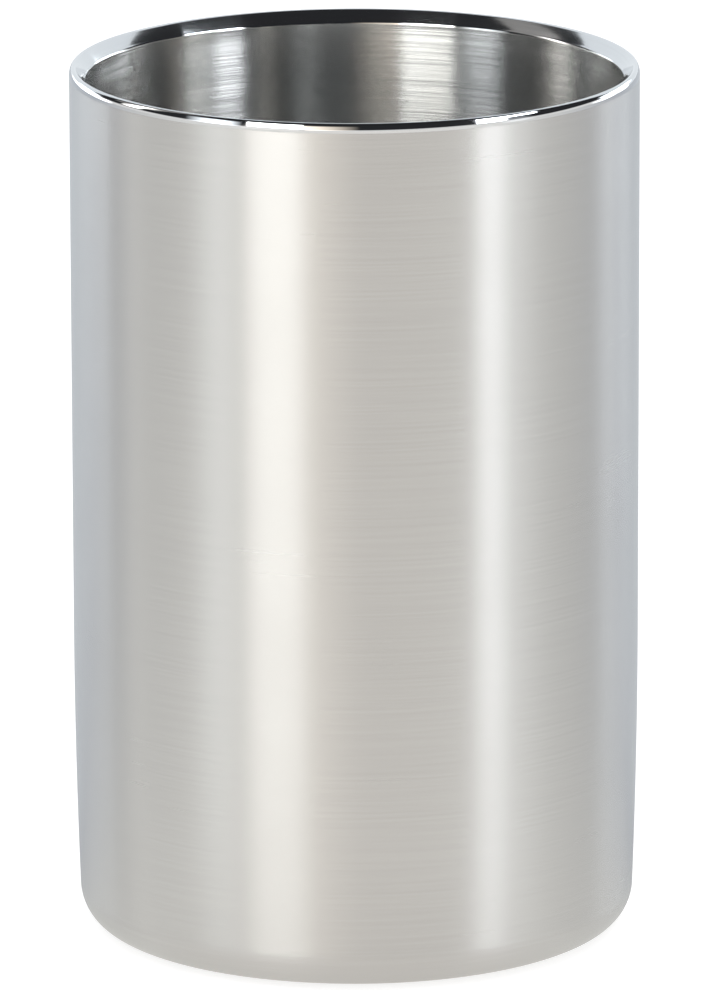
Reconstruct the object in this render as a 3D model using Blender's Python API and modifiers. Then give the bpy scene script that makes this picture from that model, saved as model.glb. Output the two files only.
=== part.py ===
"""Double-walled stainless-steel bottle cooler: an open cup with an air gap, for one champagne bottle.

Metres, +Z up. The origin is the centre of the face that the cooler rests on, and every piece is
turned about Z. Profiles are lists of (radius, height) points.
"""

import math

import bpy

# Driving dimensions
OUTER_RADIUS = 0.060
HEIGHT = 0.186
SHEET = 0.0006          # thickness of the drawn steel
CLEARANCE = 0.0003      # left between neighbouring pieces
STEPS = 64              # facets round the axis
BEND_STEPS = 3          # facets across a small bend
MERGE = 0.00001         # joins the points of a profile that lie on the axis

# Rim: a polished lip falls inward from the crest, and a rounded edge joins it to the jacket
RIM_EDGE_WIDTH = 0.0009
RIM_EDGE_HEIGHT = 0.0020
RIM_BAND = 0.0021       # height of the whole polished edge, from the crest down
RIM_EDGE_STEPS = 5
CREST_RADIUS = OUTER_RADIUS - RIM_EDGE_WIDTH
LIP_WIDTH = 0.0027
LIP_DROP = 0.0026
LIP_SLOPE = LIP_DROP / LIP_WIDTH
LIP_BEND_RADIUS = 0.0010

# Jacket: straight, then drawn in a little towards a rounded bottom corner
FOOT_PROUD = 0.0004     # how far the foot ring stands below the steel
TAPER_TOP = 0.065
TAPER = 0.0010
TAPER_STEPS = 5
CORNER_WIDTH = 0.0073
CORNER_HEIGHT = 0.0083
CORNER_STEPS = 7
PUNT_RADIUS = 0.0447    # inside of the recess under the base
PUNT_TOP = 0.0032
PUNT_BEND = 0.0012

# Liner
LINER_RADIUS = CREST_RADIUS - LIP_WIDTH
LINER_DRAFT = 0.0006    # how much narrower the cup is just above its floor
LINER_FLOOR = 0.0120
LINER_CORNER = 0.0090
LINER_CORNER_STEPS = 6

# Base
PLATE_RADIUS = PUNT_RADIUS - CLEARANCE
PLATE_TOP = 0.0033
PLATE_BEND = 0.0010
PLATE_SKIRT_BOTTOM = 0.0019
VENT_RADIUS = 0.0030
WELD_RADIUS = 0.0004
WELD_END = -225         # degrees at which the bead's round side ends, on the skirt
WELD_STEPS = 7
FOOT_INNER = 0.0360
FOOT_OUTER = 0.0425
FOOT_EDGE = 0.0005
FOOT_EDGE_STEPS = 2
PAD_INNER = 0.0100
PAD_OUTER = 0.0320
PLUG_STEM = VENT_RADIUS - CLEARANCE
PLUG_HEAD = 0.0046
PLUG_HEAD_HEIGHT = 0.0010
PLUG_BARB = 0.0040
PLUG_BARB_HEIGHT = 0.0009


def clear_scene():
    """Remove every object that the new file holds."""
    for item in list(bpy.data.objects):
        bpy.data.objects.remove(item, do_unlink=True)


def new_collection(name):
    """Make a collection inside the scene's own."""
    collection = bpy.data.collections.new(name)
    bpy.context.scene.collection.children.link(collection)
    return collection


def new_material(name, colour, roughness, metallic):
    """Make a plain Principled material."""
    material = bpy.data.materials.new(name)
    material.use_nodes = True
    shader = material.node_tree.nodes["Principled BSDF"]
    shader.inputs["Base Color"].default_value = (*colour, 1.0)
    shader.inputs["Roughness"].default_value = roughness
    shader.inputs["Metallic"].default_value = metallic
    return material


def arc(centre, radii, start, end, steps):
    """Points on an ellipse about centre; the angles are in degrees, from the outward direction."""
    points = []
    for step in range(steps + 1):
        angle = math.radians(start + (end - start) * step / steps)
        points.append((centre[0] + radii[0] * math.cos(angle), centre[1] + radii[1] * math.sin(angle)))
    return points


def turned(collection, name, profile, material, closed):
    """Turn a profile about Z. It runs down its outer side, so that the faces point out."""
    mesh = bpy.data.meshes.new(name)
    count = len(profile)
    edges = [(index, index + 1) for index in range(count - 1)]
    if closed:
        edges.append((count - 1, 0))
    mesh.from_pydata([(radius, 0.0, height) for radius, height in profile], edges, [])
    piece = bpy.data.objects.new(name, mesh)
    collection.objects.link(piece)
    screw = piece.modifiers.new("Turn", "SCREW")
    screw.axis = "Z"
    screw.angle = math.tau
    screw.steps = STEPS
    screw.render_steps = STEPS
    screw.use_merge_vertices = True
    screw.merge_threshold = MERGE
    screw.use_smooth_shade = True
    piece.data.materials.append(material)
    return piece


def turned_sheet(collection, name, profile, material, side):
    """Turn an open profile and give it the sheet's thickness: side -1 is inward, 1 is outward."""
    piece = turned(collection, name, profile, material, closed=False)
    solidify = piece.modifiers.new("Sheet", "SOLIDIFY")
    solidify.thickness = SHEET
    solidify.offset = side
    solidify.use_even_offset = True
    return piece


def lip_height(radius):
    """Height of the lip's face at a radius between the liner's wall and the crest."""
    return HEIGHT - (CREST_RADIUS - radius) * LIP_SLOPE


def outer_shell(collection, steel):
    """The jacket, with its rounded bottom corner, the ring it stands on and a turned-up edge."""
    corner_top = FOOT_PROUD + CORNER_HEIGHT
    corner_centre = (OUTER_RADIUS - TAPER - CORNER_WIDTH, corner_top)
    punt_centre = (PUNT_RADIUS + PUNT_BEND, FOOT_PROUD + PUNT_BEND)
    profile = [(OUTER_RADIUS, HEIGHT - RIM_BAND - CLEARANCE)]
    for step in range(TAPER_STEPS):
        share = step / TAPER_STEPS
        height = TAPER_TOP + (corner_top - TAPER_TOP) * share
        profile.append((OUTER_RADIUS - TAPER * share ** 2, height))
    profile += arc(corner_centre, (CORNER_WIDTH, CORNER_HEIGHT), 0, -90, CORNER_STEPS)
    profile += arc(punt_centre, (PUNT_BEND, PUNT_BEND), 270, 180, BEND_STEPS)
    profile.append((PUNT_RADIUS, PUNT_TOP))
    return turned_sheet(collection, "outer_shell", profile, steel, side=-1)


def inner_liner(collection, steel):
    """The cup that holds the bottle, from its flared lip down to its floor."""
    lip_edge = CREST_RADIUS - 2 * CLEARANCE
    slope = math.atan(LIP_SLOPE)
    bend_reach = LIP_BEND_RADIUS * math.tan((math.pi / 2 - slope) / 2)
    bend_centre = (LINER_RADIUS + LIP_BEND_RADIUS, lip_height(LINER_RADIUS) - bend_reach)
    lip_angle = 90 + math.degrees(slope)
    foot_radius = LINER_RADIUS - LINER_DRAFT
    floor_centre = (foot_radius - LINER_CORNER, LINER_FLOOR + LINER_CORNER)
    profile = [(lip_edge, lip_height(lip_edge))]
    profile += arc(bend_centre, (LIP_BEND_RADIUS, LIP_BEND_RADIUS), lip_angle, 180, BEND_STEPS)
    profile += arc(floor_centre, (LINER_CORNER, LINER_CORNER), 0, -90, LINER_CORNER_STEPS)
    profile.append((0.0, LINER_FLOOR))
    return turned_sheet(collection, "inner_liner", profile, steel, side=1)


def rim_weld_bead(collection, steel):
    """The polished seam ring that joins jacket and liner and forms the cup's rounded edge."""
    centre = (CREST_RADIUS, HEIGHT - RIM_EDGE_HEIGHT)
    inner_top = CREST_RADIUS - CLEARANCE
    inner_face = OUTER_RADIUS - SHEET
    profile = arc(centre, (RIM_EDGE_WIDTH, RIM_EDGE_HEIGHT), 90, 0, RIM_EDGE_STEPS)
    profile.append((OUTER_RADIUS, HEIGHT - RIM_BAND))
    profile.append((inner_face, HEIGHT - RIM_BAND))
    profile.append((inner_face, HEIGHT - RIM_EDGE_WIDTH))
    profile.append((inner_top, lip_height(inner_top)))
    return turned(collection, "rim_weld_bead", profile, steel, closed=True)


def base_plate(collection, steel):
    """A pressed disc with a skirt, which closes the opening under the jacket."""
    bend_centre = (PLATE_RADIUS - PLATE_BEND, PLATE_TOP - PLATE_BEND)
    profile = [(VENT_RADIUS, PLATE_TOP)]
    profile += arc(bend_centre, (PLATE_BEND, PLATE_BEND), 90, 0, BEND_STEPS)
    profile.append((PLATE_RADIUS, PLATE_SKIRT_BOTTOM))
    return turned_sheet(collection, "base_plate", profile, steel, side=-1)


def base_weld_bead(collection, steel):
    """The seam ring between the base plate's skirt and the jacket's turned-up edge."""
    centre = (PLATE_RADIUS - WELD_RADIUS, PLATE_SKIRT_BOTTOM - CLEARANCE - WELD_RADIUS)
    profile = arc(centre, (WELD_RADIUS, WELD_RADIUS), 90, WELD_END, WELD_STEPS)
    return turned(collection, "base_weld_bead", profile, steel, closed=True)


def foot_ring(collection, silicone):
    """The anti-slip ring in the recess, standing a little below the steel."""
    top = PLATE_TOP - SHEET - CLEARANCE
    edge = (FOOT_EDGE, FOOT_EDGE)
    profile = [(FOOT_INNER, top), (FOOT_OUTER, top)]
    profile += arc((FOOT_OUTER - FOOT_EDGE, FOOT_EDGE), edge, 0, -90, FOOT_EDGE_STEPS)
    profile += arc((FOOT_INNER + FOOT_EDGE, FOOT_EDGE), edge, -90, -180, FOOT_EDGE_STEPS)
    return turned(collection, "foot_ring", profile, silicone, closed=True)


def liner_support_pad(collection, foam):
    """The foam ring that keeps the liner's floor off the base plate."""
    bottom = PLATE_TOP + CLEARANCE
    top = LINER_FLOOR - SHEET - CLEARANCE
    profile = [(PAD_INNER, top), (PAD_OUTER, top), (PAD_OUTER, bottom), (PAD_INNER, bottom)]
    return turned(collection, "liner_support_pad", profile, foam, closed=True)


def vent_plug(collection, silicone):
    """The stepped plug that seals the vent at the centre of the base plate."""
    head_top = PLATE_TOP - SHEET - CLEARANCE
    barb_bottom = PLATE_TOP + CLEARANCE
    profile = [
        (0.0, barb_bottom + PLUG_BARB_HEIGHT),
        (PLUG_STEM, barb_bottom + PLUG_BARB_HEIGHT),
        (PLUG_BARB, barb_bottom),
        (PLUG_STEM, barb_bottom),
        (PLUG_STEM, head_top),
        (PLUG_HEAD, head_top),
        (PLUG_HEAD, head_top - PLUG_HEAD_HEIGHT),
        (0.0, head_top - PLUG_HEAD_HEIGHT),
    ]
    return turned(collection, "vent_plug", profile, silicone, closed=False)


def main():
    clear_scene()
    cooler = new_collection("bottle_cooler")
    brushed = new_material("brushed_steel", (0.63, 0.62, 0.60), 0.32, 1.0)
    liner_steel = new_material("liner_steel", (0.60, 0.60, 0.59), 0.28, 1.0)
    polished = new_material("polished_steel", (0.68, 0.68, 0.69), 0.08, 1.0)
    base_steel = new_material("base_steel", (0.58, 0.58, 0.58), 0.38, 1.0)
    silicone = new_material("grey_silicone", (0.10, 0.10, 0.11), 0.75, 0.0)
    foam = new_material("white_foam", (0.85, 0.85, 0.83), 0.90, 0.0)
    outer_shell(cooler, brushed)
    inner_liner(cooler, liner_steel)
    rim_weld_bead(cooler, polished)
    base_plate(cooler, base_steel)
    base_weld_bead(cooler, base_steel)
    foot_ring(cooler, silicone)
    liner_support_pad(cooler, foam)
    vent_plug(cooler, silicone)


main()
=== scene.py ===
"""Looks of the double-walled steel bottle cooler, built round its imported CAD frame.

Metres, +Z up. Every piece is turned about Z from (radius, height) points. The boxes of the CAD nodes
place them, and the sizes below shape them. The camera stands in front, towards -Y.
"""

import math

import bpy
import bmesh
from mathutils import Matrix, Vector


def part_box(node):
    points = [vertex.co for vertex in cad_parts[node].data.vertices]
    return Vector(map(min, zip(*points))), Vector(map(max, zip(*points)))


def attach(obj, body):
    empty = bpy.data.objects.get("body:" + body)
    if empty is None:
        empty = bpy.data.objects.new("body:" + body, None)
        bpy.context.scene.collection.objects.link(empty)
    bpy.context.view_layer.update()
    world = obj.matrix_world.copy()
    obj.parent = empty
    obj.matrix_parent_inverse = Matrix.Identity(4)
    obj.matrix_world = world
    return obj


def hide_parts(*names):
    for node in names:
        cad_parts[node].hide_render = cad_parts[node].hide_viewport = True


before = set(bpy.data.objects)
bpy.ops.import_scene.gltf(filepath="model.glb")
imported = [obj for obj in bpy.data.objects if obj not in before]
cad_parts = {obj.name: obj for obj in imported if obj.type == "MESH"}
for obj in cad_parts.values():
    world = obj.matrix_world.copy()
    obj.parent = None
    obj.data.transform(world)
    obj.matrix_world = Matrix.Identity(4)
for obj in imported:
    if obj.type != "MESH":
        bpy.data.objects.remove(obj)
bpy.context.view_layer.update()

# Sizes read from the CAD frame
SHELL_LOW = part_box("outer_shell")[0]
LINER_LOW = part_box("inner_liner")[0]
BEAD_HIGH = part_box("rim_weld_bead")[1]
PLATE_LOW, PLATE_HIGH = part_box("base_plate")
WELD_LOW, WELD_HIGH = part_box("base_weld_bead")
FOOT_LOW, FOOT_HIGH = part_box("foot_ring")
PLUG_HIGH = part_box("vent_plug")[1]
PAD_LOW, PAD_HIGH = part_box("liner_support_pad")
OUTER_RADIUS = BEAD_HIGH.x
TOP = BEAD_HIGH.z
STEEL_BASE = SHELL_LOW.z

SHEET = 0.0006              # thickness of the steel

# Rim
RIM_EDGE_WIDTH = 0.0009     # the rounded edge, measured inward
RIM_EDGE_HEIGHT = 0.0020    # and downward
CREST_ROUNDING = 0.0008     # on the inner side of the crest
LIP_BULGE = 0.00004         # how far the lip stands out from a straight cone
LIP_WIDTH = 0.0027
LIP_DROP = 0.0026
LIP_BEND_RADIUS = 0.0009
JACKET_INSET = 0.00004      # how far the brushed jacket lies inside the polished edge

# Jacket below the rim
TAPER_TOP = 0.065
TAPER = 0.0010
CORNER_WIDTH = 0.0073
CORNER_HEIGHT = 0.0083
PUNT_RADIUS = 0.0447
PUNT_TOP = 0.0032
PUNT_BEND = 0.0012

# Liner
CREST_RADIUS = OUTER_RADIUS - RIM_EDGE_WIDTH
LINER_RADIUS = CREST_RADIUS - LIP_WIDTH
LINER_DRAFT = 0.0006
LINER_FLOOR = LINER_LOW.z + SHEET
LINER_CORNER = 0.0090

# Base, seen from underneath
PLATE_THICKNESS = 0.0006
PLATE_BEND = 0.0010
VENT_RADIUS = 0.0030
VENT_ROUNDING = 0.00015
SEAM_RADIUS = 0.00045
SEAM_OUTWARD = 0.0002       # how far the seam reaches past the CAD bead's outer side
SEAM_UPWARD = 0.0001        # how far its middle lies above the CAD bead's
FOOT_INNER = 0.0360
FOOT_ROUNDING = 0.0006
PAD_INNER = 0.0100
PAD_ROUNDING = 0.0005
PLUG_STEM = 0.0028
PLUG_BARB = 0.0040
PLUG_HEAD_HEIGHT = 0.0010
PLUG_ROUNDING = 0.0003

# Facets round the axis, and steps along the outlines
STEPS = 256
JACKET_WALL_STEPS = 8
TAPER_STEPS = 24
CORNER_STEPS = 24
BEND_STEPS = 8
RIM_EDGE_STEPS = 20
LIP_STEPS = 10
LINER_WALL_STEPS = 12
LINER_CORNER_STEPS = 20
LINER_FLOOR_STEPS = 8
SEAM_STEPS = 16
ROUNDING_STEPS = 5
SHARP_ANGLE = math.radians(32)

# Brushed steel
SHADER_ANISOTROPY = 0.9     # the shader's blurs differ by this share of its Anisotropic value
BRUSHING_TURN = 0.25        # in turns, so that the blur lies across the lines
STREAK_SHARE = 0.7          # single streaks to each fine line
ROUGHNESS_SPREAD = 0.05
POLISHING = 0.4             # how much of the roughness polishing takes away

# Camera
CAMERA_LENS = 394.2         # millimetres, on a 36 mm long side
CAMERA_DISTANCE = 2.2348
CAMERA_HEIGHT = 0.6514      # above the steel's lowest point
CAMERA_RIGHT = 0.0002
CAMERA_PITCH = 0.2452       # radians, looking down
CAMERA_ROLL = 0.0026

# Studio
PANEL_DISTANCE = 8.0
LOW_CARD_DISTANCE = 4.0     # for three low cards behind the cooler
NEAR_CARD_DISTANCE = 0.7    # for the two cards close to the cooler
FLOOR_SIZE = 24.0
FLOOR_GLOW = 0.71
SHEEN_DEPTH = 0.001         # how far the sheen lies below the floor
# The sheen dims close to the cooler: a painted contact shadow of it, seen only in the steel.
SHEEN_PAINTED_SHADOW = 0.86         # the sheen's strength close to the cooler
SHEEN_DIM_RADIUS = 0.055
SHEEN_FULL_RADIUS = 0.13
PANEL_COLUMNS = 24
PANEL_ROWS = 8
OVERHEAD_STRENGTH = 3.1
OVERHEAD_ANGLE = math.radians(150)
ROOM_COLOUR = (0.025, 0.026, 0.028)

# Colours of the light
WARM = (1.0, 0.97, 0.92)
AMBER = (1.0, 0.88, 0.74)
CREAM = (1.0, 0.99, 0.96)
PEARL = (1.0, 1.0, 0.96)
COOL = (0.92, 0.97, 1.0)
ICE = (0.97, 1.0, 1.04)


# ---------------------------------------------------------------- shapes

def arc(centre, radii, start, end, steps):
    """Points on an ellipse about centre; the angles are in degrees, from the outward direction."""
    points = []
    for step in range(steps + 1):
        angle = math.radians(start + (end - start) * step / steps)
        points.append((centre[0] + radii[0] * math.cos(angle), centre[1] + radii[1] * math.sin(angle)))
    return points


def line(start, end, steps):
    """Points along a straight run, without its first point."""
    return [
        (start[0] + (end[0] - start[0]) * step / steps, start[1] + (end[1] - start[1]) * step / steps)
        for step in range(1, steps + 1)
    ]


def bulged(start, end, bulge, steps):
    """Points from start to end, without the first, that stand up and out from a straight run."""
    run = Vector((end[0] - start[0], end[1] - start[1]))
    side = Vector((run.y, -run.x)).normalized() * bulge
    if side.y < 0:
        side = -side
    points = []
    for step in range(1, steps + 1):
        share = step / steps
        swell = 4 * share * (1 - share)
        radius = start[0] + run.x * share + side.x * swell
        height = start[1] + run.y * share + side.y * swell
        points.append((radius, height))
    return points


def thicken(profile, thickness):
    """Close an open profile into a sheet, offset to the right of its direction of travel."""
    back = []
    count = len(profile)
    for index, (radius, height) in enumerate(profile):
        before = profile[max(index - 1, 0)]
        after = profile[min(index + 1, count - 1)]
        along = Vector((after[0] - before[0], after[1] - before[1])).normalized()
        back.append((max(radius + along.y * thickness, 0.0), height - along.x * thickness))
    return profile + back[::-1]


def turned(name, outline, materials, choose=None):
    """Spin a closed outline about Z into one piece; choose picks a material slot for a face."""
    bm = bmesh.new()
    points = [bm.verts.new((radius, 0.0, height)) for radius, height in outline]
    edges = [bm.edges.new((points[index - 1], points[index])) for index in range(len(points))]
    bmesh.ops.spin(
        bm, geom=points + edges, cent=(0, 0, 0), axis=(0, 0, 1), angle=math.tau, steps=STEPS, use_merge=True
    )
    bmesh.ops.remove_doubles(bm, verts=bm.verts, dist=1e-7)
    bmesh.ops.dissolve_degenerate(bm, dist=1e-8, edges=bm.edges)
    bmesh.ops.recalc_face_normals(bm, faces=bm.faces)
    if choose:
        for face in bm.faces:
            centre = face.calc_center_median()
            face.material_index = choose(math.hypot(centre.x, centre.y), centre.z)
    mesh = bpy.data.meshes.new(name)
    bm.to_mesh(mesh)
    bm.free()
    mesh.shade_smooth()
    mesh.set_sharp_from_angle(angle=SHARP_ANGLE)
    for material in materials:
        mesh.materials.append(material)
    piece = bpy.data.objects.new(name, mesh)
    bpy.context.scene.collection.objects.link(piece)
    return piece


def lip_slope():
    """Angle of the lip's face above the horizontal."""
    return math.atan2(LIP_DROP, LIP_WIDTH)


def jacket_profile():
    """The jacket's outer face, from under the rounded edge down to the turned-up edge of the base."""
    radius = OUTER_RADIUS - JACKET_INSET
    corner_top = STEEL_BASE + CORNER_HEIGHT
    top = TOP - RIM_EDGE_HEIGHT
    profile = [(radius, top)]
    profile += line((radius, top), (radius, TAPER_TOP), JACKET_WALL_STEPS)
    for step in range(1, TAPER_STEPS):
        share = step / TAPER_STEPS
        profile.append((radius - TAPER * share ** 2, TAPER_TOP + (corner_top - TAPER_TOP) * share))
    corner = (radius - TAPER - CORNER_WIDTH, corner_top)
    profile += arc(corner, (CORNER_WIDTH, CORNER_HEIGHT), 0, -90, CORNER_STEPS)
    punt = (PUNT_RADIUS + PUNT_BEND, STEEL_BASE + PUNT_BEND)
    profile += arc(punt, (PUNT_BEND, PUNT_BEND), 270, 180, BEND_STEPS)
    profile.append((PUNT_RADIUS, PUNT_TOP))
    return profile


def bead_outline():
    """The polished edge: an elliptical outside, a small inner rounding and the start of the lip."""
    edge_centre = (CREST_RADIUS, TOP - RIM_EDGE_HEIGHT)
    outside = arc(edge_centre, (RIM_EDGE_WIDTH, RIM_EDGE_HEIGHT), 90, 0, RIM_EDGE_STEPS)
    lip_angle = 90 + math.degrees(lip_slope())
    crest_centre = (CREST_RADIUS, TOP - CREST_ROUNDING)
    inside = arc(crest_centre, (CREST_ROUNDING, CREST_ROUNDING), lip_angle, 90, BEND_STEPS)
    low = TOP - RIM_EDGE_HEIGHT - JACKET_INSET
    back = OUTER_RADIUS - 2 * SHEET
    behind = [(OUTER_RADIUS - JACKET_INSET, low), (back, low), (back, TOP - LIP_DROP / 2)]
    return inside + outside[1:] + behind


def liner_profile():
    """The liner's visible face, from the crest down the lip, the wall and the floor corner."""
    slope = lip_slope()
    start = (
        CREST_RADIUS - CREST_ROUNDING * math.sin(slope),
        TOP - CREST_ROUNDING * (1 - math.cos(slope)),
    )
    reach = LIP_BEND_RADIUS * math.tan((math.pi / 2 - slope) / 2)
    bend_height = TOP - LIP_DROP
    bend_centre = (LINER_RADIUS + LIP_BEND_RADIUS, bend_height - reach)
    lip_angle = 90 + math.degrees(slope)
    bend = arc(bend_centre, (LIP_BEND_RADIUS, LIP_BEND_RADIUS), lip_angle, 180, BEND_STEPS)
    foot = LINER_RADIUS - LINER_DRAFT
    corner_centre = (foot - LINER_CORNER, LINER_FLOOR + LINER_CORNER)
    corner = arc(corner_centre, (LINER_CORNER, LINER_CORNER), 0, -90, LINER_CORNER_STEPS)
    profile = [start] + bulged(start, bend[0], LIP_BULGE, LIP_STEPS) + bend[1:]
    profile += line(bend[-1], corner[0], LINER_WALL_STEPS) + corner[1:]
    profile += line(corner[-1], (0.0, LINER_FLOOR), LINER_FLOOR_STEPS)
    return profile


def rounded(corners, rounding):
    """Close an outline of (radius, height, rounds) corners, rounding those that ask for it."""
    outline = []
    count = len(corners)
    for index, (radius, height, rounds) in enumerate(corners):
        here = Vector((radius, height))
        if not rounds:
            outline.append((radius, height))
            continue
        before = Vector(corners[index - 1][:2])
        after = Vector(corners[(index + 1) % count][:2])
        start = here + (before - here).normalized() * rounding
        end = here + (after - here).normalized() * rounding
        for step in range(ROUNDING_STEPS + 1):
            share = step / ROUNDING_STEPS
            point = start * (1 - share) ** 2 + here * 2 * share * (1 - share) + end * share ** 2
            outline.append((point.x, point.y))
    return outline


def plate_outline():
    """The pressed disc under the jacket: a flat with a vent hole, a bend and a skirt."""
    top = PLATE_HIGH.z
    outer = PLATE_HIGH.x
    inner = outer - PLATE_THICKNESS
    centre = (outer - PLATE_BEND, top - PLATE_BEND)
    inner_bend = PLATE_BEND - PLATE_THICKNESS
    outline = arc(centre, (PLATE_BEND, PLATE_BEND), 90, 0, BEND_STEPS)
    outline += [(outer, PLATE_LOW.z), (inner, PLATE_LOW.z)]
    outline += arc(centre, (inner_bend, inner_bend), 0, 90, BEND_STEPS)
    low = top - PLATE_THICKNESS
    hole = [(VENT_RADIUS, low, True), (VENT_RADIUS, top, True)]
    beyond = [(outer, top, False), (outer, low, False)]
    outline += rounded(hole + beyond, VENT_ROUNDING)[:-len(beyond)]
    return outline


def seam_outline():
    """The weld under the plate's skirt, which stops 0.1 mm short of the jacket's turned-up edge."""
    middle = (WELD_LOW.z + WELD_HIGH.z) / 2
    centre = (WELD_HIGH.x - SEAM_RADIUS + SEAM_OUTWARD, middle + SEAM_UPWARD)
    return arc(centre, (SEAM_RADIUS, SEAM_RADIUS), 0, -360, SEAM_STEPS)[:-1]


def foot_outline():
    """The anti-slip ring that the cooler rests on."""
    corners = [
        (FOOT_INNER, FOOT_HIGH.z, False),
        (FOOT_HIGH.x, FOOT_HIGH.z, False),
        (FOOT_HIGH.x, FOOT_LOW.z, True),
        (FOOT_INNER, FOOT_LOW.z, True),
    ]
    return rounded(corners, FOOT_ROUNDING)


def plug_outline():
    """The stepped plug in the vent."""
    barb = PLATE_HIGH.z
    head_top = PLATE_HIGH.z - PLATE_THICKNESS
    head_bottom = head_top - PLUG_HEAD_HEIGHT
    corners = [
        (0.0, PLUG_HIGH.z, False),
        (PLUG_STEM, PLUG_HIGH.z, True),
        (PLUG_BARB, barb, True),
        (PLUG_STEM, barb, False),
        (PLUG_STEM, head_top, False),
        (PLUG_HIGH.x, head_top, False),
        (PLUG_HIGH.x, head_bottom, True),
        (0.0, head_bottom, False),
    ]
    return rounded(corners, PLUG_ROUNDING)


def pad_outline():
    """The foam ring between the liner's floor and the base plate."""
    corners = [
        (PAD_INNER, PAD_HIGH.z, True),
        (PAD_HIGH.x, PAD_HIGH.z, True),
        (PAD_HIGH.x, PAD_LOW.z, True),
        (PAD_INNER, PAD_LOW.z, True),
    ]
    return rounded(corners, PAD_ROUNDING)


# ---------------------------------------------------------------- materials

def new_material(name):
    """A material with only a Principled shader and its output."""
    material = bpy.data.materials.new(name)
    material.use_nodes = True
    return material, material.node_tree, material.node_tree.nodes["Principled BSDF"]


def add(tree, kind, **settings):
    """Add a node and set its properties."""
    node = tree.nodes.new(kind)
    for key, value in settings.items():
        setattr(node, key, value)
    return node


def turned_place(tree, across, lines):
    """Object space drawn out round the axis: level lines on the walls, rings on the flat faces."""
    place = add(tree, "ShaderNodeTexCoord")
    split = add(tree, "ShaderNodeSeparateXYZ")
    tree.links.new(place.outputs["Object"], split.inputs["Vector"])
    level = add(tree, "ShaderNodeVectorMath", operation="MULTIPLY")
    level.inputs[1].default_value = (1, 1, 0)
    tree.links.new(place.outputs["Object"], level.inputs[0])
    radius = add(tree, "ShaderNodeVectorMath", operation="LENGTH")
    tree.links.new(level.outputs["Vector"], radius.inputs[0])
    along = add(tree, "ShaderNodeMath", operation="ADD")
    tree.links.new(radius.outputs["Value"], along.inputs[0])
    tree.links.new(split.outputs["Z"], along.inputs[1])
    join = add(tree, "ShaderNodeCombineXYZ")
    tree.links.new(split.outputs["X"], join.inputs["X"])
    tree.links.new(split.outputs["Y"], join.inputs["Y"])
    tree.links.new(along.outputs["Value"], join.inputs["Z"])
    mapping = add(tree, "ShaderNodeMapping")
    mapping.inputs["Scale"].default_value = (across, across, lines)
    tree.links.new(join.outputs["Vector"], mapping.inputs["Vector"])
    return mapping.outputs["Vector"]


def noise(tree, place, detail, roughness=0.5):
    """Noise at unit scale in a given space."""
    node = add(tree, "ShaderNodeTexNoise")
    node.inputs["Scale"].default_value = 1.0
    node.inputs["Detail"].default_value = detail
    node.inputs["Roughness"].default_value = roughness
    tree.links.new(place, node.inputs["Vector"])
    return node.outputs["Fac"]


def height_share(tree, low, high):
    """0 below one height, 1 above another."""
    place = add(tree, "ShaderNodeTexCoord")
    split = add(tree, "ShaderNodeSeparateXYZ")
    tree.links.new(place.outputs["Object"], split.inputs["Vector"])
    return ranged(tree, split.outputs["Z"], 0.0, 1.0, start=low, end=high)


def math_node(tree, operation, first, second):
    """Combine two values, each a socket or a number."""
    node = add(tree, "ShaderNodeMath", operation=operation)
    for socket, value in zip(node.inputs, (first, second)):
        if isinstance(value, (int, float)):
            socket.default_value = value
        else:
            tree.links.new(value, socket)
    return node.outputs["Value"]


def ranged(tree, value, low, high, start=0.3, end=0.7):
    """Map a value to low at start and high at end, which are set for noise unless given."""
    node = add(tree, "ShaderNodeMapRange")
    node.inputs["From Min"].default_value = start
    node.inputs["From Max"].default_value = end
    node.inputs["To Min"].default_value = low
    node.inputs["To Max"].default_value = high
    tree.links.new(value, node.inputs["Value"])
    return node.outputs["Result"]


def mixed(tree, factor, first, second):
    """Mix two colours by a factor."""
    node = add(tree, "ShaderNodeMix", data_type="RGBA")
    node.inputs["A"].default_value = (*first, 1.0)
    node.inputs["B"].default_value = (*second, 1.0)
    tree.links.new(factor, node.inputs["Factor"])
    return node.outputs["Result"]


def bumped(tree, shader, height, strength, distance, normal=None):
    """Give the shader a bump from a height, on top of a normal if there is one."""
    bump = add(tree, "ShaderNodeBump")
    bump.inputs["Strength"].default_value = strength
    bump.inputs["Distance"].default_value = distance
    tree.links.new(height, bump.inputs["Height"])
    if normal:
        tree.links.new(normal, bump.inputs["Normal"])
    tree.links.new(bump.outputs["Normal"], shader.inputs["Normal"])


def leaned(tree, normal, direction, field, amount):
    """A normal that leans back and forth in a direction with a 0 to 1 field."""
    lean = math_node(tree, "MULTIPLY", math_node(tree, "SUBTRACT", field, 0.5), amount)
    aside = add(tree, "ShaderNodeVectorMath", operation="SCALE")
    tree.links.new(direction, aside.inputs[0])
    tree.links.new(lean, aside.inputs["Scale"])
    total = add(tree, "ShaderNodeVectorMath", operation="ADD")
    tree.links.new(normal, total.inputs[0])
    tree.links.new(aside.outputs["Vector"], total.inputs[1])
    unit = add(tree, "ShaderNodeVectorMath", operation="NORMALIZE")
    tree.links.new(total.outputs["Vector"], unit.inputs[0])
    return unit.outputs["Vector"]


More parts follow.
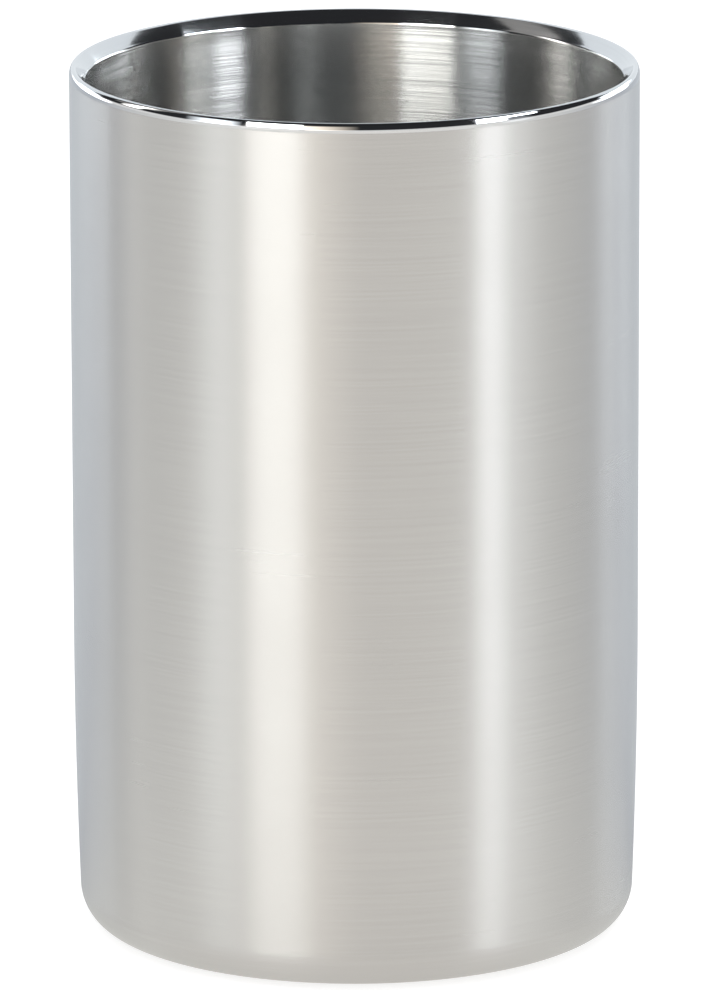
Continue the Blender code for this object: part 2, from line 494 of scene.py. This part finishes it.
def brushed_steel(name, light, dark, blur_across, blur_along, lines, ragged, fade=None):
    """Steel brushed round the axis, with about so many lines to the metre.

    Reflections blur more across the lines than along them. ragged says how far the single streaks
    lean the reflections, along and across the lines. Between the two heights in fade, the brushing
    gives way to polish.
    """
    material, tree, shader = new_material(name)
    radial = add(tree, "ShaderNodeTangent", direction_type="RADIAL", axis="Z")
    tangent = radial.outputs["Tangent"]
    tree.links.new(tangent, shader.inputs["Tangent"])
    roughness = (blur_across * blur_along) ** 0.25
    shader.inputs["Metallic"].default_value = 1.0
    shader.inputs["Anisotropic"].default_value = min((1 - blur_along / blur_across) / SHADER_ANISOTROPY, 1.0)
    shader.inputs["Anisotropic Rotation"].default_value = BRUSHING_TURN
    fine = noise(tree, turned_place(tree, across=20, lines=lines), detail=3, roughness=0.6)
    streak_place = turned_place(tree, across=150, lines=lines * STREAK_SHARE)
    streaks = noise(tree, streak_place, detail=5, roughness=0.7)
    clouds = noise(tree, turned_place(tree, across=35, lines=45), detail=2)
    tree.links.new(mixed(tree, ranged(tree, fine, 0.0, 1.0), dark, light), shader.inputs["Base Color"])
    half_fine = math_node(tree, "MULTIPLY", fine, 0.5)
    half_clouds = math_node(tree, "MULTIPLY", clouds, 0.5)
    spread = math_node(tree, "ADD", half_fine, half_clouds)
    roughest = roughness * (1 + ROUGHNESS_SPREAD)
    smoothest = roughness * (1 - ROUGHNESS_SPREAD)
    level = ranged(tree, spread, roughest, smoothest)
    if fade:
        polish = math_node(tree, "MULTIPLY", height_share(tree, *fade), POLISHING)
        level = math_node(tree, "MULTIPLY", level, math_node(tree, "SUBTRACT", 1.0, polish))
    tree.links.new(level, shader.inputs["Roughness"])
    surface = add(tree, "ShaderNodeNewGeometry")
    across = add(tree, "ShaderNodeVectorMath", operation="CROSS_PRODUCT")
    tree.links.new(surface.outputs["Normal"], across.inputs[0])
    tree.links.new(tangent, across.inputs[1])
    normal = surface.outputs["Normal"]
    if ragged[0]:
        normal = leaned(tree, normal, tangent, streaks, ragged[0])
    if ragged[1]:
        normal = leaned(tree, normal, across.outputs["Vector"], fine, ragged[1])
    bumped(tree, shader, fine, strength=0.012, distance=0.00002, normal=normal)
    return material


def polished_steel(name, light, dark, roughness):
    """Mirror-polished steel with a trace of polishing haze."""
    material, tree, shader = new_material(name)
    shader.inputs["Metallic"].default_value = 1.0
    haze = noise(tree, turned_place(tree, across=120, lines=600), detail=4)
    tree.links.new(mixed(tree, haze, dark, light), shader.inputs["Base Color"])
    tree.links.new(ranged(tree, haze, roughness * 1.4, roughness * 0.6), shader.inputs["Roughness"])
    bumped(tree, shader, haze, strength=0.05, distance=0.00002)
    return material


def spun_steel(name, light, dark, roughness):
    """Dull pressed sheet with the rings that spinning leaves."""
    material, tree, shader = new_material(name)
    shader.inputs["Metallic"].default_value = 1.0
    rings = noise(tree, turned_place(tree, across=12, lines=1400), detail=3, roughness=0.6)
    blotches = noise(tree, turned_place(tree, across=90, lines=90), detail=3)
    tree.links.new(mixed(tree, ranged(tree, blotches, 0.0, 1.0), dark, light), shader.inputs["Base Color"])
    tree.links.new(ranged(tree, rings, roughness * 1.2, roughness * 0.8), shader.inputs["Roughness"])
    bumped(tree, shader, rings, strength=0.25, distance=0.00003)
    return material


def welded_steel(name, light, dark, ripples):
    """A weld seam with even ripples round the axis."""
    material, tree, shader = new_material(name)
    shader.inputs["Metallic"].default_value = 1.0
    place = add(tree, "ShaderNodeTexCoord")
    split = add(tree, "ShaderNodeSeparateXYZ")
    tree.links.new(place.outputs["Object"], split.inputs["Vector"])
    angle = math_node(tree, "ARCTAN2", split.outputs["Y"], split.outputs["X"])
    ripple = math_node(tree, "SINE", math_node(tree, "MULTIPLY", angle, ripples), 0.0)
    heat = noise(tree, turned_place(tree, across=400, lines=400), detail=3)
    tree.links.new(mixed(tree, ranged(tree, heat, 0.0, 1.0), dark, light), shader.inputs["Base Color"])
    tree.links.new(ranged(tree, heat, 0.5, 0.34), shader.inputs["Roughness"])
    bumped(tree, shader, ripple, strength=0.3, distance=0.00004)
    return material


def silicone(name, light, dark, grain):
    """Matt silicone rubber with a fine moulded grain."""
    material, tree, shader = new_material(name)
    shader.inputs["Specular IOR Level"].default_value = 0.35
    speckle = noise(tree, turned_place(tree, across=grain, lines=grain), detail=3)
    tree.links.new(mixed(tree, ranged(tree, speckle, 0.0, 1.0), dark, light), shader.inputs["Base Color"])
    tree.links.new(ranged(tree, speckle, 0.85, 0.68), shader.inputs["Roughness"])
    bumped(tree, shader, speckle, strength=0.3, distance=0.00003)
    return material


def foam(name, light, dark):
    """Closed-cell foam: small pale cells with darker walls."""
    material, tree, shader = new_material(name)
    shader.inputs["Specular IOR Level"].default_value = 0.2
    cells = add(tree, "ShaderNodeTexVoronoi")
    cells.inputs["Scale"].default_value = 1.0
    tree.links.new(turned_place(tree, across=1300, lines=1300), cells.inputs["Vector"])
    depth = ranged(tree, cells.outputs["Distance"], 1.0, 0.0, start=0.1, end=0.8)
    tree.links.new(mixed(tree, depth, dark, light), shader.inputs["Base Color"])
    tree.links.new(ranged(tree, depth, 0.95, 0.8, start=0.0, end=1.0), shader.inputs["Roughness"])
    bumped(tree, shader, depth, strength=0.4, distance=0.0001)
    return material


# ---------------------------------------------------------------- pieces

def make_rim_and_walls():
    """The jacket, the liner with its polished lip, and the rounded edge between them."""
    lip_foot = TOP - LIP_DROP
    jacket_steel = brushed_steel(
        "jacket_steel",
        light=(0.654, 0.649, 0.644),
        dark=(0.634, 0.629, 0.624),
        blur_across=0.16,
        blur_along=0.03,
        lines=1800,
        ragged=(0.0, 0.0),
    )
    liner_steel = brushed_steel(
        "liner_steel",
        light=(0.71, 0.71, 0.705),
        dark=(0.64, 0.64, 0.63),
        blur_across=0.20,
        blur_along=0.020,
        lines=4200,
        ragged=(0.07, 0.5),
        fade=(lip_foot - 0.003, lip_foot),
    )
    polished = polished_steel("polished_steel", (0.74, 0.75, 0.77), (0.70, 0.71, 0.73), roughness=0.05)
    lip_steel = brushed_steel(
        "polished_lip_steel",
        light=(0.73, 0.74, 0.76),
        dark=(0.69, 0.70, 0.72),
        blur_across=0.025,
        blur_along=0.0025,
        lines=3600,
        ragged=(0.0, 0.05),
    )

    jacket = turned("jacket", thicken(jacket_profile(), SHEET), [jacket_steel])
    stand_for(jacket, "outer_shell")

    liner = turned(
        "liner",
        thicken(liner_profile(), -SHEET),
        [liner_steel, lip_steel],
        lambda radius, height: 1 if height > lip_foot else 0,
    )
    stand_for(liner, "inner_liner")

    edge = turned("rim_edge", bead_outline(), [polished])
    stand_for(edge, "rim_weld_bead")


def make_base():
    """The pieces of the underside, and the pad inside."""
    plate_steel = spun_steel("base_steel", (0.60, 0.60, 0.595), (0.54, 0.54, 0.54), roughness=0.36)
    plate = turned("base_cap", plate_outline(), [plate_steel])
    stand_for(plate, "base_plate")

    seam_steel = welded_steel("weld_steel", (0.56, 0.55, 0.54), (0.44, 0.42, 0.40), ripples=340)
    seam = turned("base_seam", seam_outline(), [seam_steel])
    stand_for(seam, "base_weld_bead")

    foot_rubber = silicone("foot_silicone", (0.115, 0.115, 0.125), (0.085, 0.085, 0.092), grain=1800)
    foot = turned("foot", foot_outline(), [foot_rubber])
    stand_for(foot, "foot_ring")

    plug_rubber = silicone("plug_silicone", (0.125, 0.125, 0.13), (0.09, 0.09, 0.10), grain=2600)
    plug = turned("plug", plug_outline(), [plug_rubber])
    stand_for(plug, "vent_plug")

    pad_foam = foam("support_foam", (0.86, 0.86, 0.84), (0.70, 0.70, 0.67))
    pad = turned("pad", pad_outline(), [pad_foam])
    stand_for(pad, "liner_support_pad")


def stand_for(piece, node):
    """Put a piece on the cooler's body in place of a CAD node."""
    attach(piece, "root")
    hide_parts(node)


# ---------------------------------------------------------------- studio

def glow(name, colour, strength, fades):
    """Light that fades out towards a panel's left, right and top edges, by shares of its size.

    The panel is clear as well, so that panels behind it add to it.
    """
    fade_left, fade_right, fade_top = fades
    material = bpy.data.materials.new(name)
    material.use_nodes = True
    tree = material.node_tree
    tree.nodes.clear()
    place = add(tree, "ShaderNodeUVMap", uv_map="panel")
    split = add(tree, "ShaderNodeSeparateXYZ")
    tree.links.new(place.outputs["UV"], split.inputs["Vector"])
    left = ranged(tree, split.outputs["X"], 0.0, strength, start=0.0, end=fade_left)
    right = ranged(tree, split.outputs["X"], 1.0, 0.0, start=1.0 - fade_right, end=1.0)
    top = ranged(tree, split.outputs["Y"], 1.0, 0.0, start=1.0 - fade_top, end=1.0)
    level = math_node(tree, "MULTIPLY", math_node(tree, "MULTIPLY", left, right), top)
    emit = add(tree, "ShaderNodeEmission")
    emit.inputs["Color"].default_value = (*colour, 1.0)
    tree.links.new(level, emit.inputs["Strength"])
    clear = add(tree, "ShaderNodeBsdfTransparent")
    both = add(tree, "ShaderNodeAddShader")
    tree.links.new(emit.outputs["Emission"], both.inputs[0])
    tree.links.new(clear.outputs["BSDF"], both.inputs[1])
    output = add(tree, "ShaderNodeOutputMaterial")
    tree.links.new(both.outputs["Shader"], output.inputs["Surface"])
    return material


def for_steel_only(card):
    """Let the steel reflect a card that nothing else sees."""
    bpy.context.scene.collection.objects.link(card)
    card.visible_camera = False
    card.visible_shadow = False
    card.visible_diffuse = False


def fanned(azimuth, elevation):
    """The azimuth, at an elevation, that upright walls show the camera in line with one at its own level."""
    half = azimuth / 2
    lean = math.sin(half) * math.cos(CAMERA_PITCH) / math.cos(elevation)
    return half + math.asin(max(-1.0, min(lean, 1.0)))


def panel(
    name, width, height, colour, strength,
    fades=(0.02, 0.02, 0.02), distance=PANEL_DISTANCE, arch=False, fan=False,
):
    """A light panel between two azimuths (width) and two elevations (height), in degrees.

    Azimuth 0 is the camera's side, and it grows to the right. An arch has a round top. A fan spreads
    upwards, so that upright walls show it with upright sides.
    """
    bm = bmesh.new()
    layer = bm.loops.layers.uv.new("panel")
    grid = []
    for row in range(PANEL_ROWS + 1):
        ring = []
        for column in range(PANEL_COLUMNS + 1):
            share = column / PANEL_COLUMNS
            rise = math.sqrt(max(1 - (2 * share - 1) ** 2, 0.0)) if arch else 1.0
            azimuth = math.radians(width[0] + (width[1] - width[0]) * share)
            elevation = math.radians(height[0] + (height[1] - height[0]) * rise * row / PANEL_ROWS)
            if fan:
                azimuth = fanned(azimuth, elevation)
            ring.append(bm.verts.new((
                distance * math.sin(azimuth) * math.cos(elevation),
                -distance * math.cos(azimuth) * math.cos(elevation),
                TOP + distance * math.sin(elevation),
            )))
        grid.append(ring)
    for row in range(PANEL_ROWS):
        for column in range(PANEL_COLUMNS):
            corners = ((row, column), (row, column + 1), (row + 1, column + 1), (row + 1, column))
            face = bm.faces.new([grid[up][along] for up, along in corners])
            for loop, (up, along) in zip(face.loops, corners):
                loop[layer].uv = (along / PANEL_COLUMNS, up / PANEL_ROWS)
    mesh = bpy.data.meshes.new(name)
    bm.to_mesh(mesh)
    bm.free()
    mesh.materials.append(glow(name, colour, strength, fades))
    for_steel_only(bpy.data.objects.new(name, mesh))


def flat_square(name, height):
    """A square as large as the floor."""
    size = FLOOR_SIZE / 2
    mesh = bpy.data.meshes.new(name)
    sides = ((-size, -size), (size, -size), (size, size), (-size, size))
    corners = [(across, back, height) for across, back in sides]
    mesh.from_pydata(corners, [], [(0, 1, 2, 3)])
    return mesh


def make_floor():
    """A plain pale floor, and the toned sheen of it that the steel reflects."""
    mesh = flat_square("floor", 0.0)
    material, _, shader = new_material("floor")
    shader.inputs["Base Color"].default_value = (0.5, 0.5, 0.5, 1)
    shader.inputs["Emission Color"].default_value = (1, 1, 1, 1)
    shader.inputs["Emission Strength"].default_value = FLOOR_GLOW
    shader.inputs["Roughness"].default_value = 0.9
    shader.inputs["Specular IOR Level"].default_value = 0.0
    mesh.materials.append(material)
    floor = bpy.data.objects.new("floor", mesh)
    bpy.context.scene.collection.objects.link(floor)
    floor.visible_glossy = False

    sheen_mesh = flat_square("floor_sheen", -SHEEN_DEPTH)
    sheen_mesh.materials.append(floor_tones())
    for_steel_only(bpy.data.objects.new("floor_sheen", sheen_mesh))


def floor_tones():
    """Warm and bright in front of the cooler, greyer at its sides, cooler behind, and dimmer close to it as
    a painted contact shadow of the cooler.
    """
    material = bpy.data.materials.new("floor_tones")
    material.use_nodes = True
    tree = material.node_tree
    tree.nodes.clear()
    place = add(tree, "ShaderNodeTexCoord")
    level = add(tree, "ShaderNodeVectorMath", operation="MULTIPLY")
    level.inputs[1].default_value = (1, 1, 0)
    tree.links.new(place.outputs["Object"], level.inputs[0])
    unit = add(tree, "ShaderNodeVectorMath", operation="NORMALIZE")
    tree.links.new(level.outputs["Vector"], unit.inputs[0])
    split = add(tree, "ShaderNodeSeparateXYZ")
    tree.links.new(unit.outputs["Vector"], split.inputs["Vector"])
    ramp = add(tree, "ShaderNodeValToRGB")
    tree.links.new(ranged(tree, split.outputs["Y"], 0.0, 1.0, start=-1.0, end=1.0), ramp.inputs["Fac"])
    stops = ramp.color_ramp.elements
    front = (0.94, 0.91, 0.86)
    near_front = (0.94, 0.93, 0.89)
    side = (0.75, 0.75, 0.73)
    near_back = (0.54, 0.56, 0.59)
    back = (0.62, 0.66, 0.70)
    stops[0].color = (*front, 1)
    stops[1].color = (*back, 1)
    for position, colour in ((0.21, near_front), (0.5, side), (0.8, near_back)):
        stops.new(position).color = (*colour, 1)
    distance = add(tree, "ShaderNodeVectorMath", operation="LENGTH")
    tree.links.new(level.outputs["Vector"], distance.inputs[0])
    emit = add(tree, "ShaderNodeEmission")
    tree.links.new(ramp.outputs["Color"], emit.inputs["Color"])
    # Painted contact shadow: the sheen's strength drops close to the cooler.
    strength = ranged(
        tree, distance.outputs["Value"], SHEEN_PAINTED_SHADOW, 1.0, start=SHEEN_DIM_RADIUS, end=SHEEN_FULL_RADIUS
    )
    tree.links.new(strength, emit.inputs["Strength"])
    output = add(tree, "ShaderNodeOutputMaterial")
    tree.links.new(emit.outputs["Emission"], output.inputs["Surface"])
    return material


def make_lights():
    """Soft light from above for the floor, and panels for the steel to reflect.

    Each panel's numbers are its azimuths, its elevations, its strength and how far it fades out.
    """
    sky = bpy.data.lights.new("overhead", "SUN")
    sky.energy = OVERHEAD_STRENGTH
    sky.angle = OVERHEAD_ANGLE
    overhead = bpy.data.objects.new("overhead", sky)
    overhead.visible_glossy = False
    bpy.context.scene.collection.objects.link(overhead)

    panel("left_softbox", (-44.3, -20.5), (8, 45), PEARL, 6.7, (0.03, 0.02, 0.02), fan=True)
    panel("left_card", (-45, -20), (-4, 30), WARM, 0.2, (0.15, 0.05, 0.3), NEAR_CARD_DISTANCE)
    panel("left_spill", (-20.5, 2), (4, 40), AMBER, 1.9, (0.02, 0.95, 0.3), fan=True)
    panel("left_wall", (-72, -46), (4, 40), COOL, 2.5, (0.5, 0.3, 0.3), fan=True)
    panel("left_reflector", (-109, -95), (10, 38), WARM, 4.2, (0.3, 0.3, 0.3))
    panel("left_dome", (-118, -90), (20, 61), WARM, 0.3, arch=True)
    panel("left_low", (-160, -112), (-2.5, 4), COOL, 3.6, (0.5, 0.12, 0.1), LOW_CARD_DISTANCE)
    panel("left_far", (-148, -122), (4, 12), COOL, 2.2, (0.2, 0.2, 0.2))
    panel("right_softbox", (50, 65), (8, 45), ICE, 7.5, (0.03, 0.32, 0.02), fan=True)
    panel("right_card", (57, 74), (-4, 30), COOL, 0.3, (0.3, 0.3, 0.3), NEAR_CARD_DISTANCE)
    panel("right_spill", (63, 79.5), (28, 44), COOL, 9.5, (0.02, 0.04, 0.1), fan=True)
    panel("right_wall", (108, 132), (-2.5, 5), COOL, 2.2, (0.4, 0.3, 0.3), LOW_CARD_DISTANCE)
    panel("right_low", (130, 143), (-2.5, 4), COOL, 2.0, (0.2, 0.2, 0.1), LOW_CARD_DISTANCE)
    panel("right_far", (116, 150), (5, 15), COOL, 6.0, (0.2, 0.2, 0.2))
    panel("sweep", (-131, 128), (-1, 8), CREAM, 0.85, (0.02, 0.02, 0.3))
    panel("backdrop", (128, 229), (-4, 70), COOL, 0.95, (0.005, 0.005, 0.2))
    panel("right_trim", (126.8, 128), (19, 66), COOL, 1.6)
    panel("left_trim", (229, 230.2), (19, 66), COOL, 1.6)


def make_world():
    """A dark room for the steel, and a pale surround for the camera."""
    world = bpy.data.worlds.new("studio")
    bpy.context.scene.world = world
    world.use_nodes = True
    tree = world.node_tree
    tree.nodes.clear()
    room = add(tree, "ShaderNodeBackground")
    room.inputs["Color"].default_value = (*ROOM_COLOUR, 1)
    pale = add(tree, "ShaderNodeBackground")
    pale.inputs["Color"].default_value = (1, 1, 1, 1)
    path = add(tree, "ShaderNodeLightPath")
    mix = add(tree, "ShaderNodeMixShader")
    output = add(tree, "ShaderNodeOutputWorld")
    tree.links.new(path.outputs["Is Camera Ray"], mix.inputs["Fac"])
    tree.links.new(room.outputs["Background"], mix.inputs[1])
    tree.links.new(pale.outputs["Background"], mix.inputs[2])
    tree.links.new(mix.outputs["Shader"], output.inputs["Surface"])


def make_camera():
    """A long lens in front of the cooler, looking a little down into its mouth."""
    lens = bpy.data.cameras.new("camera")
    lens.lens = CAMERA_LENS
    lens.sensor_width = 36.0
    lens.clip_end = 100.0
    camera = bpy.data.objects.new("camera", lens)
    camera.location = (CAMERA_RIGHT, -CAMERA_DISTANCE, STEEL_BASE + CAMERA_HEIGHT)
    camera.rotation_mode = "ZYX"
    camera.rotation_euler = (math.pi / 2 - CAMERA_PITCH, 0.0, -CAMERA_ROLL)
    bpy.context.scene.collection.objects.link(camera)
    bpy.context.scene.camera = camera


make_camera()
make_rim_and_walls()
make_base()
make_floor()
make_lights()
make_world()
bpy.context.scene.view_settings.view_transform = "Standard"
